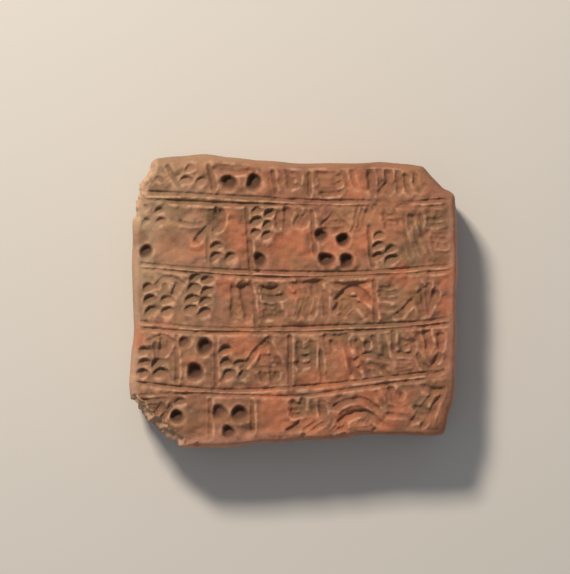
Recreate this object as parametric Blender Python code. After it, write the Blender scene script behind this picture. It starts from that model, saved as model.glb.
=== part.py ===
# A modelled clay tablet: one cushion-shaped piece with five ruled registers of stylus work.
# It lies on its back with the inscribed face up: +Z up, +X to the right of the face, +Y to its top.

import math
import random

import bmesh
import bpy
from mathutils import Matrix, Vector

MM = 0.001

# The whole tablet.
TABLET_WIDTH = 103.2 * MM
TABLET_HEIGHT = 92.2 * MM
TABLET_THICKNESS = 24.0 * MM

# The soft form: how far the face falls from its middle to its rim, how far the back rises, and how far
# the rounded side stands out past the face's rim. The powers say how late each of them sets in.
FACE_FALL = 1.6 * MM
FACE_CUSHION = 3
BACK_RISE = 3.2 * MM
BACK_CUSHION = 1.5
EDGE_ROLL = 2.4 * MM
SIDE_FULLNESS = 0.7
REST_PATCH_WIDTH = 56.0 * MM
REST_PATCH_HEIGHT = 48.0 * MM

# Stylus work: widths across the face, and depths below it.
RULE_WIDTH = 1.5 * MM
RULE_DEPTH = 0.75 * MM
DIVIDER_WIDTH = 1.3 * MM
DIVIDER_DEPTH = 0.6 * MM
STROKE_WIDTH = 1.5 * MM
STROKE_DEPTH = 0.65 * MM
HOLE_DEPTH = 2.9 * MM
SCOOP_WIDTH = 4.0 * MM
SCOOP_DEPTH = 1.5 * MM

# How a stylus is held and shaped: how far its top leans towards the hand, or away from it, its end's width
# as a share of the dent's width at the face, the hand's side, and its modelled length as a multiple of its
# depth in the clay. A groove starts and ends at a share of its full width, and reaches it over a share of
# its length.
HOLE_LEAN = math.radians(9)
HOLE_TAPER = 0.72
SCOOP_LEAN = math.radians(-32)
SCOOP_TAPER = 0.8
HAND_SIDE = Vector((0.45, -1.0, 0.0)).normalized()
STYLUS_REACH = 2.4
GROOVE_END = 0.35
GROOVE_RUN = 0.25

# How finely the body and the cutters are faceted.
COLUMNS = 20
ROWS = 18
SIDE_RINGS = 5
OUTLINE_STEPS = 6
HOLE_SIDES = 12
SCOOP_SIDES = 8

# The outline as found, in millimetres from its middle, clockwise from the top left corner.
# Worked edges are smooth curves through few points, and the two broken corners are straight flakes.
TOP_EDGE = [(-43.9, 43.9), (-42.6, 44.8), (-36.6, 45.7), (-29.1, 46.1), (-16.6, 45.0), (-1.0, 43.5),
            (14.6, 43.5), (27.1, 43.7), (38.1, 42.8), (40.9, 42.3)]
CUT_CORNER = [(43.7, 39.5), (46.8, 35.9), (49.0, 34.5), (50.4, 32.9)]
RIGHT_EDGE = [(50.7, 29.5), (51.5, 22.3), (51.5, 9.8), (51.2, -5.8), (50.7, -19.9), (50.1, -30.8),
              (49.0, -35.5), (47.8, -40.5), (45.9, -42.2)]
BOTTOM_EDGE = [(39.6, -42.1), (33.4, -41.8), (20.9, -41.6), (16.2, -42.8), (8.4, -43.4), (-4.1, -44.1),
               (-16.6, -45.4), (-27.6, -46.0), (-33.8, -45.9)]
LOWER_BREAK = [(-36.0, -45.5), (-37.9, -43.6), (-41.0, -41.8), (-43.2, -39.3), (-46.2, -37.4),
               (-47.6, -35.2), (-49.8, -33.8), (-51.0, -32.7)]
LEFT_EDGE = [(-51.5, -26.1), (-51.3, -19.3), (-50.0, -8.9), (-50.5, 5.1), (-50.4, 17.6), (-50.3, 25.9)]
UPPER_BREAK = [(-49.0, 27.3), (-49.5, 29.8), (-48.4, 33.6), (-48.2, 36.7), (-46.3, 39.0), (-44.9, 40.6),
               (-44.2, 42.9)]

# The double rules between the five registers: where each line runs, from the left edge to the right.
RULES = [
    [(-46.3, 34.3), (-27.6, 33.4), (3.7, 31.6), (30.0, 31.5), (47.8, 32.0)],
    [(-46.6, 32.0), (-32.2, 31.1), (2.1, 30.0), (30.3, 29.5), (47.4, 29.8)],
    [(-47.6, 12.0), (-24.4, 10.1), (9.9, 9.1), (30.3, 10.0), (48.4, 11.5)],
    [(-46.6, 10.3), (-18.2, 8.1), (2.0, 7.6), (33.4, 8.6), (49.0, 9.7)],
    [(-49.0, -5.8), (-26.0, -8.0), (3.7, -7.7), (36.5, -6.4), (49.0, -4.7)],
    [(-49.0, -8.0), (-24.4, -9.5), (20.9, -8.9), (44.3, -7.1), (49.0, -6.8)],
    [(-49.5, -25.0), (-22.0, -27.3), (5.3, -26.0), (31.8, -23.0), (47.0, -21.3)],
    [(-49.0, -28.9), (-30.0, -28.5), (0.0, -29.2), (24.0, -26.1), (47.4, -23.2)],
]
RULE_STEPS = 3

# The upright lines between the cells of a register.
DIVIDERS = [
    [(-39.5, 43.0), (-35.5, 35.6)],
    [(-26.4, 42.5), (-25.9, 40.0), (-25.0, 35.0)],
    [(-6.7, 41.0), (-5.4, 33.4)],
    [(4.9, 40.5), (4.9, 33.4)],
    [(-26.1, 28.6), (-26.6, 13.0)],
    [(-14.7, 29.5), (-14.1, 20.7), (-13.3, 10.6)],
    [(5.6, 28.6), (6.2, 19.2), (6.8, 14.6)],
    [(23.4, 23.9), (23.7, 16.1), (24.8, 10.4)],
    [(-13.5, 7.0), (-11.6, -6.6)],
    [(24.9, 7.4), (25.3, -5.8)],
    [(-36.3, -10.0), (-36.3, -24.0)],
    [(-24.1, -10.6), (-24.1, -26.0)],
    [(-1.3, -10.2), (-1.3, -25.6)],
    [(8.4, -14.6), (8.7, -24.4)],
    [(30.9, -8.6), (30.9, -15.2)],
    [(-26.0, -30.2), (-26.0, -43.0)],
    [(-12.9, -30.6), (-12.9, -40.2)],
]

# Round dents of a stylus's end: place and width across.
HOLES = [
    (-20.1, 37.0, 5.0), (-12.2, 37.0, 5.3),
    (-46.0, 15.7, 5.0), (-10.1, 12.9, 5.0),
    (8.7, 20.4, 5.0), (15.6, 19.5, 4.7), (10.3, 12.9, 5.0), (16.5, 12.9, 5.3),
    (-34.0, -12.6, 4.4), (-27.6, -13.8, 5.3), (-30.7, -21.8, 5.4),
    (-22.9, -34.9, 5.4), (-16.9, -34.9, 5.4), (-20.1, -41.0, 4.2), (-36.0, -35.8, 4.4),
]

# Half-moon dents, in twos, blocks and rows one over another.
SCOOPS = [
    (-31.9, 41.2), (-33.3, 37.7), (-28.6, 37.5),
    (-46.6, 28.9), (-41.6, 28.4), (-46.2, 25.0), (-40.8, 24.8),
    (-23.8, 17.3), (-24.4, 14.0), (-19.4, 14.0),
    (-11.2, 28.2), (-7.5, 27.2), (-11.8, 24.9), (-8.0, 24.0), (-11.8, 21.6), (-8.0, 20.7),
    (26.6, 20.6), (26.4, 17.2), (30.4, 16.3), (26.4, 13.9), (30.8, 13.2),
    (-45.0, 4.2), (-44.9, 0.6), (-44.4, -3.0), (-39.4, 0.2), (-39.0, -3.3),
    (-30.2, 7.2), (-26.4, 6.6), (-31.0, 4.0), (-27.1, 3.2),
    (-31.4, 0.6), (-27.3, 0.0), (-31.7, -2.6), (-27.7, -3.2),
    (-46.6, -15.2), (-46.5, -19.1), (-41.6, -18.9), (-47.0, -22.6), (-41.4, -22.4),
    (-21.2, -15.2), (-20.8, -19.1), (-16.6, -19.3), (-20.2, -22.8), (-15.2, -22.7),
    (-35.2, -31.4),
]

# Groups of shallow strokes: the shape of the group, its box (left, bottom, right, top) and how far apart
# its strokes are. As many strokes as fit fill the box.
STROKE_GROUPS = [
    ("bow", (-45.0, 37.0, -39.0, 39.6), 2.6), ("ladder", (-25.2, 40.2, -13.4, 42.8), 1.3),
    ("ladder", (-3.2, 35.2, 2.8, 41.4), 2.1), ("ladder", (7.4, 33.6, 15.2, 40.6), 1.2),
    ("comb", (15.4, 35.4, 20.6, 42.6), 2.6), ("comb", (22.4, 34.6, 33.6, 42.6), 2.8),
    ("comb", (34.4, 33.8, 40.0, 40.0), 2.8),
    ("ladder", (-36.6, 22.6, -27.8, 26.4), 3.8), ("slant", (-31.6, 18.8, -27.0, 23.6), 4.6),
    ("comb", (-6.4, 22.8, -1.4, 29.0), 2.5), ("comb", (-1.0, 26.0, 3.6, 29.4), 2.3),
    ("ladder", (7.2, 22.8, 17.0, 29.0), 2.1), ("slant", (17.4, 21.8, 24.6, 29.2), 2.4),
    ("ladder", (27.0, 22.6, 33.6, 28.4), 2.9), ("comb", (34.4, 14.0, 42.6, 27.6), 4.1),
    ("ladder", (40.8, 23.2, 47.6, 26.4), 1.6), ("ladder", (44.4, 16.6, 48.8, 21.0), 2.2),
    ("bow", (-44.0, 5.4, -33.6, 8.8), 3.4), ("fan", (-42.6, 1.6, -33.6, 7.4), 4.5),
    ("comb", (-20.6, -5.0, -13.8, 5.6), 3.4), ("ladder", (-9.8, 0.2, -3.0, 5.6), 2.7),
    ("ladder", (-9.6, -5.4, -3.0, 0.4), 2.9), ("comb", (0.2, 1.8, 8.0, 5.8), 1.95),
    ("slant", (0.0, -5.2, 7.4, 1.6), 2.4), ("bow", (13.4, -4.6, 23.6, 5.8), 5.2),
    ("ladder", (26.6, -2.4, 32.2, 5.0), 1.5), ("slant", (32.2, -4.6, 40.6, 5.2), 8.4),
    ("fan", (37.0, -4.6, 45.0, 5.6), 2.7),
    ("bow", (-46.4, -13.2, -35.4, -10.0), 3.2), ("fan", (-44.0, -17.6, -37.0, -11.6), 2.3),
    ("slant", (-16.0, -18.8, -9.6, -11.8), 6.4), ("ladder", (-12.2, -20.4, -3.6, -12.8), 2.6),
    ("comb", (-10.2, -25.0, -4.8, -21.4), 1.8), ("ladder", (0.0, -21.2, 7.6, -11.8), 3.1),
    ("comb", (9.4, -14.4, 16.0, -10.0), 1.65), ("bow", (17.0, -22.6, 30.0, -11.6), 3.7),
    ("comb", (32.0, -17.2, 38.4, -11.0), 3.2), ("comb", (39.4, -15.0, 47.2, -8.8), 3.9),
    ("fan", (35.6, -21.4, 47.6, -15.2), 6.0),
    ("ladder", (-49.0, -33.8, -38.8, -29.8), 2.0), ("slant", (-46.0, -38.0, -38.0, -31.6), 4.0),
    ("comb", (-1.6, -36.4, 4.0, -29.8), 2.8), ("comb", (4.8, -36.0, 9.8, -30.2), 2.5),
    ("slant", (-2.6, -40.8, 9.2, -37.0), 3.9), ("bow", (11.0, -37.6, 26.0, -28.6), 4.5),
    ("comb", (26.6, -32.4, 34.0, -27.0), 3.7), ("ladder", (28.6, -36.6, 36.0, -32.4), 2.1),
    ("ladder", (40.2, -28.0, 47.0, -25.6), 2.4), ("slant", (36.0, -38.4, 46.0, -29.2), 5.0),
]

# The strokes of a group: how far one leans and a short one's length, both as shares; how wide a fan's foot
# is and how round its top; and how far a bow rises and each next one shifts.
STROKE_LEAN = 0.15
SHORT_STROKE = 0.8
FAN_FOOT = 0.25
FAN_ROUND = 0.5
BOW_RISE = 0.8
BOW_SHIFT = 0.12
BOW_STEPS = 4

# Flakes: those of the two broken corners lie in two tiers down the side, and single chips nick the rim.
# Each is cut by a rough stone. A tier is how far below the rim it lies, as a share of the thickness, its
# rise, or how far from above its stones came, their size, and their bite, or how deep they go.
UPPER_TIERS = [(0.03, math.radians(24), 5.4 * MM, 1.1 * MM), (0.5, math.radians(-6), 10.0 * MM, 1.1 * MM)]
LOWER_TIERS = [(0.0, math.radians(58), 6.5 * MM, 2.0 * MM), (0.35, math.radians(12), 8.0 * MM, 2.0 * MM)]
CHIPS = [
    (-30.0, -46.0), (-14.0, -45.4), (-3.0, -44.2), (9.0, -43.6), (15.5, -43.0), (24.5, -41.7), (-51.4, -22.5),
]
CHIP_STONE = 6.5 * MM
CHIP_BITE = 1.8 * MM
CHIP_RISE = math.radians(50)
STONE_ROUGHNESS = 0.1
BITE_SPREAD = (0.6, 1.2)
STONE_SEED = 11

# A shallow trough in the face, pressed by a lens of which a quarter of the thickness is sunk.
TROUGH_PLACE = (-24.9, 25.6)
TROUGH_WIDTH = 5.2 * MM
TROUGH_HEIGHT = 8.0 * MM
TROUGH_DEPTH = 0.9 * MM

CLAY_COLOR = (0.42, 0.23, 0.155, 1.0)
CLAY_ROUGHNESS = 0.88


def smooth_points(points, steps):
    """Points on a smooth curve through the given ones, without the last."""
    made = []
    ends = [points[0], *points, points[-1]]
    for before, start, end, after in zip(ends, ends[1:], ends[2:], ends[3:]):
        for step in range(steps):
            t = step / steps
            made.append(tuple(
                0.5 * (2 * b + (c - a) * t + (2 * a - 5 * b + 4 * c - d) * t ** 2
                       + (3 * b - a - 3 * c + d) * t ** 3)
                for a, b, c, d in zip(before, start, end, after)
            ))
    return made


def found_outline():
    """The closed outline as found, clockwise, in millimetres."""
    worked = TOP_EDGE + CUT_CORNER + RIGHT_EDGE + BOTTOM_EDGE
    loop = smooth_points(worked, OUTLINE_STEPS) + LOWER_BREAK
    return loop + smooth_points(LEFT_EDGE, OUTLINE_STEPS) + UPPER_BREAK


FOUND = found_outline()
FOUND_LOW = Vector((min(x for x, _ in FOUND), min(y for _, y in FOUND)))
FOUND_HIGH = Vector((max(x for x, _ in FOUND), max(y for _, y in FOUND)))


def on_face(x, y):
    """A place in millimetres on the tablet as found, brought to the width and height of this one."""
    middle = (FOUND_LOW + FOUND_HIGH) / 2
    size = FOUND_HIGH - FOUND_LOW
    return (x - middle.x) * TABLET_WIDTH / size.x, (y - middle.y) * TABLET_HEIGHT / size.y


def face_height(x, y):
    """Height of the uncarved face, a low cushion that falls to its rim."""
    across = abs(x) / (TABLET_WIDTH / 2)
    along = abs(y) / (TABLET_HEIGHT / 2)
    return TABLET_THICKNESS - FACE_FALL * (across ** FACE_CUSHION + along ** FACE_CUSHION)


def back_height(x, y):
    """Height of the back, flat on its rest patch and rising softly past it."""
    reach = math.hypot(x / (REST_PATCH_WIDTH / 2), y / (REST_PATCH_HEIGHT / 2))
    corner = math.hypot(TABLET_WIDTH / REST_PATCH_WIDTH, TABLET_HEIGHT / REST_PATCH_HEIGHT)
    past = max(0.0, (reach - 1) / (corner - 1))
    return BACK_RISE * past ** BACK_CUSHION


class Outline:
    """The outline as four sides that meet at the corners, each read by its share from 0 to 1."""

    def __init__(self, points):
        diagonals = [Vector((-1, 1)), Vector((1, 1)), Vector((1, -1)), Vector((-1, -1))]
        corners = [max(range(len(points)), key=lambda i: points[i].dot(way)) for way in diagonals]
        self.sides = []
        for first, last in zip(corners, corners[1:] + corners[:1]):
            steps = (last - first) % len(points)
            run = [points[(first + step) % len(points)] for step in range(steps + 1)]
            lengths = [0.0]
            for a, b in zip(run, run[1:]):
                lengths.append(lengths[-1] + (b - a).length)
            self.sides.append((run, lengths))

    def side(self, number, share):
        run, lengths = self.sides[number]
        wanted = share * lengths[-1]
        for a, b, start, end in zip(run, run[1:], lengths, lengths[1:]):
            if wanted <= end:
                return a.lerp(b, (wanted - start) / max(end - start, 1e-12))
        return run[-1]

    def inside(self, u, v):
        """The place at share u across and v up, from the left and bottom sides."""
        top = self.side(0, u)
        right = self.side(1, 1 - v)
        bottom = self.side(2, 1 - u)
        left = self.side(3, v)
        corners = (
            (1 - u) * (1 - v) * self.side(2, 1) + u * (1 - v) * self.side(2, 0)
            + (1 - u) * v * self.side(0, 0) + u * v * self.side(0, 1)
        )
        return (1 - v) * bottom + v * top + (1 - u) * left + u * right - corners


def cut_across(bm, axis, cuts):
    """Loop cuts through every edge that still runs the cube's full length along the axis."""
    along = [e for e in bm.edges if abs((e.verts[0].co - e.verts[1].co)[axis]) > 0.99]
    bmesh.ops.subdivide_edges(bm, edges=along, cuts=cuts, use_grid_fill=True)


def body_mesh():
    """The uncarved tablet: a cube cut into rows and columns, then drawn out to the outline."""
    outline = Outline([Vector(on_face(x, y)) for x, y in FOUND])
    bm = bmesh.new()
    bmesh.ops.create_cube(bm, size=1)
    for axis, count in enumerate((COLUMNS, ROWS, SIDE_RINGS)):
        cut_across(bm, axis, count - 1)
    roll_x = EDGE_ROLL / (TABLET_WIDTH / 2)
    roll_y = EDGE_ROLL / (TABLET_HEIGHT / 2)
    for vertex in bm.verts:
        u, v, w = vertex.co + Vector((0.5, 0.5, 0.0))
        place = outline.inside(u, v)
        turn = w * math.pi
        inset = 1 - abs(math.cos(turn)) ** SIDE_FULLNESS
        x = place.x * (1 - roll_x * inset)
        y = place.y * (1 - roll_y * inset)
        high = face_height(x, y)
        low = back_height(x, y)
        vertex.co = (x, y, (high + low) / 2 + math.sin(turn) * (high - low) / 2)
    mesh = bpy.data.meshes.new("clay_tablet")
    bm.to_mesh(mesh)
    bm.free()
    return mesh


def cutter_from(name, bm, collection):
    bmesh.ops.recalc_face_normals(bm, faces=bm.faces)
    mesh = bpy.data.meshes.new(name)
    bm.to_mesh(mesh)
    bm.free()
    cutter = bpy.data.objects.new(name, mesh)
    cutter.hide_render = True
    cutter.display_type = "WIRE"
    collection.objects.link(cutter)
    return cutter


def groove_cutter(name, paths, width, depth, collection):
    """V-shaped grooves along paths on the face: square tubes standing on edge, tapered to their ends."""
    curve = bpy.data.curves.new(name, "CURVE")
    curve.dimensions = "3D"
    curve.twist_mode = "Z_UP"
    curve.bevel_depth = width
    curve.bevel_resolution = 0
    curve.use_fill_caps = True
    lift = width - depth
    for path in paths:
        spline = curve.splines.new("POLY")
        spline.points.add(len(path) - 1)
        for number, (point, (x, y)) in enumerate(zip(spline.points, path)):
            share = number / (len(path) - 1)
            full = min(1.0, GROOVE_END + (1 - GROOVE_END) * min(share, 1 - share) / GROOVE_RUN)
            point.co = (x, y, face_height(x, y) + lift * full, 1)
            point.radius = full
    guide = bpy.data.objects.new(name + "_guide", curve)
    collection.objects.link(guide)
    bpy.context.view_layer.update()
    mesh = bpy.data.meshes.new_from_object(guide.evaluated_get(bpy.context.evaluated_depsgraph_get()))
    bpy.data.objects.remove(guide)
    bm = bmesh.new()
    bm.from_mesh(mesh)
    bpy.data.meshes.remove(mesh)
    bmesh.ops.remove_doubles(bm, verts=bm.verts, dist=1e-6)
    return cutter_from(name, bm, collection)


def press_stylus(bm, x, y, width, depth, lean, taper, sides):
    """A round stylus end pressed in until its lowest point is that deep, steepest on the upper left."""
    end_radius = width / 2 * taper
    length = STYLUS_REACH * depth
    spread = (1 - taper) * (length - depth) / depth
    top_radius = width / 2 * (1 + spread)
    made = bmesh.ops.create_cone(
        bm, cap_ends=True, segments=sides, radius1=end_radius, radius2=top_radius, depth=length,
    )
    sunk = (depth - end_radius * math.sin(abs(lean))) / math.cos(lean)
    matrix = (
        Matrix.Translation((x, y, face_height(x, y)))
        @ Matrix.Rotation(lean, 4, Vector((0, 0, 1)).cross(HAND_SIDE))
        @ Matrix.Translation((0, 0, length / 2 - sunk))
    )
    bmesh.ops.transform(bm, matrix=matrix, verts=made["verts"])


def hole_cutter(collection):
    bm = bmesh.new()
    for x, y, width in HOLES:
        press_stylus(bm, *on_face(x, y), width * MM, HOLE_DEPTH, HOLE_LEAN, HOLE_TAPER, HOLE_SIDES)
    return cutter_from("round_dents", bm, collection)


def scoop_cutter(collection):
    bm = bmesh.new()
    for x, y in SCOOPS:
        press_stylus(bm, *on_face(x, y), SCOOP_WIDTH, SCOOP_DEPTH, SCOOP_LEAN, SCOOP_TAPER, SCOOP_SIDES)
    return cutter_from("half_moon_dents", bm, collection)


def fitting(length, pitch):
    """How many strokes that far apart fill the length."""
    return max(1, round(length / pitch))


def comb(low, high, pitch):
    """Upright strokes side by side, each leaning a little."""
    count = fitting(high.x - low.x, pitch)
    pitch = Vector(((high.x - low.x) / count, 0))
    lean = pitch * STROKE_LEAN
    head = Vector((low.x, high.y)) + pitch / 2
    foot = low + pitch / 2
    return [[head + n * pitch - lean, (head + foot) / 2 + n * pitch, foot + n * pitch + lean / 2]
            for n in range(count)]


def ladder(low, high, pitch):
    """Level strokes one above another, by turns long and short."""
    count = fitting(high.y - low.y, pitch)
    pitch = Vector((0, (high.y - low.y) / count))
    lean = pitch * STROKE_LEAN
    strokes = []
    for n in range(count):
        start = low + (n + 0.5) * pitch
        end = start + Vector((high.x - low.x, 0)) * (SHORT_STROKE if n % 2 else 1)
        strokes.append([start + lean, (start + end) / 2 - lean / 2, end + lean])
    return strokes


def slant(low, high, pitch):
    """Strokes side by side that rise to the right, each reaching over two steps."""
    count = fitting(high.x - low.x, pitch)
    step = Vector(((high.x - low.x) / (count + 1), 0))
    strokes = []
    for n in range(count):
        foot = low + n * step
        head = foot + 2 * step + Vector((0, high.y - low.y))
        strokes.append([foot, (foot + head) / 2, head])
    return strokes


def fan(low, high, pitch):
    """Strokes that spread upwards from near one foot."""
    count = fitting(high.x - low.x, pitch)
    size = high - low
    strokes = []
    for n in range(count):
        share = (n + 0.5) / count
        foot = low + Vector((size.x * (0.5 + (share - 0.5) * FAN_FOOT), size.y * share * FAN_FOOT))
        head = low + Vector((share * size.x, size.y * (1 - abs(share - 0.5) * FAN_ROUND)))
        strokes.append([foot, (foot + head) / 2, head])
    return strokes


def bow(low, high, pitch):
    """Arched strokes one under another."""
    count = fitting(high.y - low.y, pitch)
    rise = (high.y - low.y) / count
    strokes = []
    for n in range(count):
        start = Vector((low.x + n * BOW_SHIFT * (high.x - low.x), high.y - (n + 1) * rise))
        shares = [step / BOW_STEPS for step in range(BOW_STEPS + 1)]
        width = high.x - start.x
        strokes.append([
            start + Vector((width * share, BOW_RISE * rise * math.sin(math.pi * share))) for share in shares
        ])
    return strokes


GROUP_SHAPES = {"comb": comb, "ladder": ladder, "slant": slant, "fan": fan, "bow": bow}


def stroke_paths():
    paths = []
    for shape, (left, bottom, right, top), pitch in STROKE_GROUPS:
        for stroke in GROUP_SHAPES[shape](Vector((left, bottom)), Vector((right, top)), pitch):
            paths.append([on_face(x, y) for x, y in stroke])
    return paths


def add_stone(bm, draw, x, y, below, rise, size, bite):
    """A rough stone against the side at (x, y), that far below the face and that deep in the clay."""
    outward = Vector(((x / TABLET_WIDTH) ** 3, (y / TABLET_HEIGHT) ** 3, 0)).normalized()
    toward = outward * math.cos(rise) + Vector((0, 0, math.sin(rise)))
    middle = Vector((x, y, face_height(x, y) - below)) + toward * (size - bite)
    made = bmesh.ops.create_icosphere(bm, subdivisions=2, radius=size)
    for vertex in made["verts"]:
        swell = 1 + draw.uniform(-STONE_ROUGHNESS, STONE_ROUGHNESS)
        vertex.co = middle + vertex.co * swell


def flake_cutter(collection):
    draw = random.Random(STONE_SEED)
    bm = bmesh.new()
    for run, tiers in ((LOWER_BREAK[1:], LOWER_TIERS), (UPPER_BREAK, UPPER_TIERS)):
        for below, rise, stone, bite in tiers:
            for x, y in run:
                depth = bite * draw.uniform(*BITE_SPREAD)
                add_stone(bm, draw, *on_face(x, y), below * TABLET_THICKNESS, rise, stone, depth)
    for x, y in CHIPS:
        bite = CHIP_BITE * draw.uniform(*BITE_SPREAD)
        add_stone(bm, draw, *on_face(x, y), 0.0, CHIP_RISE, CHIP_STONE, bite)
    return cutter_from("rim_flakes", bm, collection)


def trough_cutter(collection):
    """A lens whose section at the face is as wide and high as the trough."""
    x, y = on_face(*TROUGH_PLACE)
    half_thickness = 2 * TROUGH_DEPTH
    section = math.sqrt(1 - (TROUGH_DEPTH / half_thickness) ** 2)
    matrix = (
        Matrix.Translation((x, y, face_height(x, y) + half_thickness - TROUGH_DEPTH))
        @ Matrix.Diagonal((TROUGH_WIDTH / 2 / section, TROUGH_HEIGHT / 2 / section, half_thickness, 1))
    )
    bm = bmesh.new()
    bmesh.ops.create_icosphere(bm, subdivisions=2, radius=1, matrix=matrix)
    return cutter_from("trough", bm, collection)


def clay_material():
    material = bpy.data.materials.new("fired clay")
    material.use_nodes = True
    shader = material.node_tree.nodes["Principled BSDF"]
    shader.inputs["Base Color"].default_value = CLAY_COLOR
    shader.inputs["Roughness"].default_value = CLAY_ROUGHNESS
    shader.inputs["Metallic"].default_value = 0.0
    return material


def main():
    for old in list(bpy.data.objects):
        bpy.data.objects.remove(old)
    parts = bpy.data.collections.new("cuneiform tablet")
    cutters = bpy.data.collections.new("cutters")
    bpy.context.scene.collection.children.link(parts)
    bpy.context.scene.collection.children.link(cutters)

    tablet = bpy.data.objects.new("clay_tablet", body_mesh())
    tablet.data.materials.append(clay_material())
    parts.objects.link(tablet)

    rules = [[on_face(x, y) for x, y in smooth_points(rule, RULE_STEPS) + [rule[-1]]] for rule in RULES]
    dividers = [[on_face(x, y) for x, y in line] for line in DIVIDERS]
    tools = [
        flake_cutter(cutters),
        trough_cutter(cutters),
        groove_cutter("rules", rules, RULE_WIDTH, RULE_DEPTH, cutters),
        groove_cutter("dividers", dividers, DIVIDER_WIDTH, DIVIDER_DEPTH, cutters),
        groove_cutter("strokes", stroke_paths(), STROKE_WIDTH, STROKE_DEPTH, cutters),
        scoop_cutter(cutters),
        hole_cutter(cutters),
    ]
    for tool in tools:
        cut = tablet.modifiers.new(tool.name, "BOOLEAN")
        cut.operation = "DIFFERENCE"
        cut.solver = "EXACT"
        cut.use_self = True
        cut.object = tool


main()
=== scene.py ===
import math
import random

import bmesh
import bpy
import numpy as np
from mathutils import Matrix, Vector, noise


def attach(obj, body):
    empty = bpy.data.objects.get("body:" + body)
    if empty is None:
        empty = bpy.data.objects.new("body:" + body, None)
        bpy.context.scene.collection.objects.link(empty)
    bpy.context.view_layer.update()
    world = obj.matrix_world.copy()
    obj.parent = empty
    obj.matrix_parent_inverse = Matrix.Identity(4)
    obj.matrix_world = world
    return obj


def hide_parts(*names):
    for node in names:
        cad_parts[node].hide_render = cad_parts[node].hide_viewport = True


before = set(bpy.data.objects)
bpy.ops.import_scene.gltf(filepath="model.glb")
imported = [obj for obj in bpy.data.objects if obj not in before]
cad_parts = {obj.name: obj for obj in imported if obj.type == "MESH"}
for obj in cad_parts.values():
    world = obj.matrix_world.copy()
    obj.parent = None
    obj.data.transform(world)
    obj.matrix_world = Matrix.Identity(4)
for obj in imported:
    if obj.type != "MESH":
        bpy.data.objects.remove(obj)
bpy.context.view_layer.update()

mm = 0.001

# An old clay tablet, worked with a reed stylus. It lies on its back, face up, +X to the right of the face and
# +Y to its top. Lengths in the dictionaries are millimetres, the layout is measured from the tablet's middle.

tablet = {
    "width": 103.2,
    "height": 92.2,
    "thickness": 24.0,
    "faceFall": 1.6,        # how far the cushion-shaped face falls to its rim
    "facePower": 3,
    "backRise": 3.2,        # how far the back rises from the flat patch it lies on
    "backPower": 1.5,
    "edgeRoll": 2.4,        # how far the rounded side stands out past the face
    "sideFullness": 0.7,
    "restPatch": (56.0, 48.0),
    "edgeStray": (0.35, 0.13),      # how far the outline strays, and its noise's rate per mm
    "breakStray": (0.4, 0.7),
    "columns": 292,
    "rows": 256,
    "sideRings": 16,
    "rollRings": 3,                 # of the side's rings, those that turn over the face's edge
    "footRings": 2,                 # and those that turn under to the back
    "sideTurns": (90, 62, -56, -82),    # where these begin and end, degrees from level
    "lineRows": (0.34, 0.6),        # the rows beside a ruled line lie this far from it
    "rowSpread": 0.02,              # share of an even spread in the rows, so that no two meet in a corner
    "backColumns": 64,
    "backRows": 56,
    "backInset": 0.035,             # share of the back that the strip to its coarser grid takes
}

# The outline as found, clockwise from the top left corner. True marks a stretch that is broken.
outlineRuns = [
    (False, [(-43.9, 43.9), (-42.6, 44.8), (-36.6, 45.7), (-29.1, 46.1), (-16.6, 45.0), (-1.0, 43.5),
             (14.6, 43.5), (27.1, 43.7), (38.1, 42.8), (40.9, 42.3), (43.7, 39.5), (46.8, 35.9),
             (49.0, 34.5), (50.4, 32.9), (50.7, 29.5), (51.5, 22.3), (51.5, 9.8), (51.2, -5.8),
             (50.7, -19.9), (50.1, -30.8), (49.0, -35.5), (47.8, -40.5), (45.9, -42.2), (39.6, -42.1),
             (33.4, -41.8), (20.9, -41.6), (16.2, -42.8), (8.4, -43.4), (-4.1, -44.1), (-16.6, -45.4),
             (-27.6, -46.0), (-33.8, -45.9)]),
    (True, [(-36.0, -45.5), (-37.9, -43.6), (-41.0, -41.8), (-43.2, -39.3), (-46.2, -37.4), (-47.6, -35.2),
            (-49.8, -33.8), (-51.0, -32.7)]),
    (False, [(-51.5, -26.1), (-51.3, -19.3), (-50.0, -8.9), (-50.5, 5.1), (-50.4, 17.6), (-50.3, 25.9)]),
    (True, [(-49.0, 27.3), (-49.5, 29.8), (-48.4, 33.6), (-48.2, 36.7), (-46.3, 39.0), (-44.9, 40.6),
            (-44.2, 42.9)]),
]


def curveThrough(points, steps):
    # points of a smooth curve through the given ones, whatever they hold, without the last
    ends = np.array([points[0], *points, points[-1]], float)
    t = np.arange(steps)[:, None] / steps
    made = []
    for a, b, c, d in zip(ends, ends[1:], ends[2:], ends[3:]):
        made.append(0.5 * (2 * b + (c - a) * t + (2 * a - 5 * b + 4 * c - d) * t ** 2
                           + (3 * b - a - 3 * c + d) * t ** 3))
    return np.concatenate(made)


def strayed(x, y, stray, levels):
    # a place moved by soft noise
    far, rate = stray
    moved = [far * noise.noise((x * rate, y * rate, level)) for level in levels]
    return x + moved[0], y + moved[1]


def raggedRun(run):
    # a broken stretch, its straight flakes roughened
    points = []
    for a, b in zip(np.array(run), np.array(run[1:] + run[-1:])):
        for t in np.arange(5) / 5:
            points.append(strayed(*(a + (b - a) * t), tablet["breakStray"], (2.0, 7.0)))
    return np.array(points)


foundLoop = np.concatenate([raggedRun(run) if isBroken else curveThrough(run, 6)
                            for isBroken, run in outlineRuns])
foundLoop = np.array([strayed(x, y, tablet["edgeStray"], (1.0, 6.0)) for x, y in foundLoop])
foundMiddle = (foundLoop.min(axis=0) + foundLoop.max(axis=0)) / 2
foundSize = foundLoop.max(axis=0) - foundLoop.min(axis=0)


def onTablet(points):
    # places on the tablet as found, brought to its width and height; what else a point holds passes through
    points = np.array(points, float)
    points[:, :2] = (points[:, :2] - foundMiddle) * (tablet["width"], tablet["height"]) / foundSize
    return points


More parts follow.
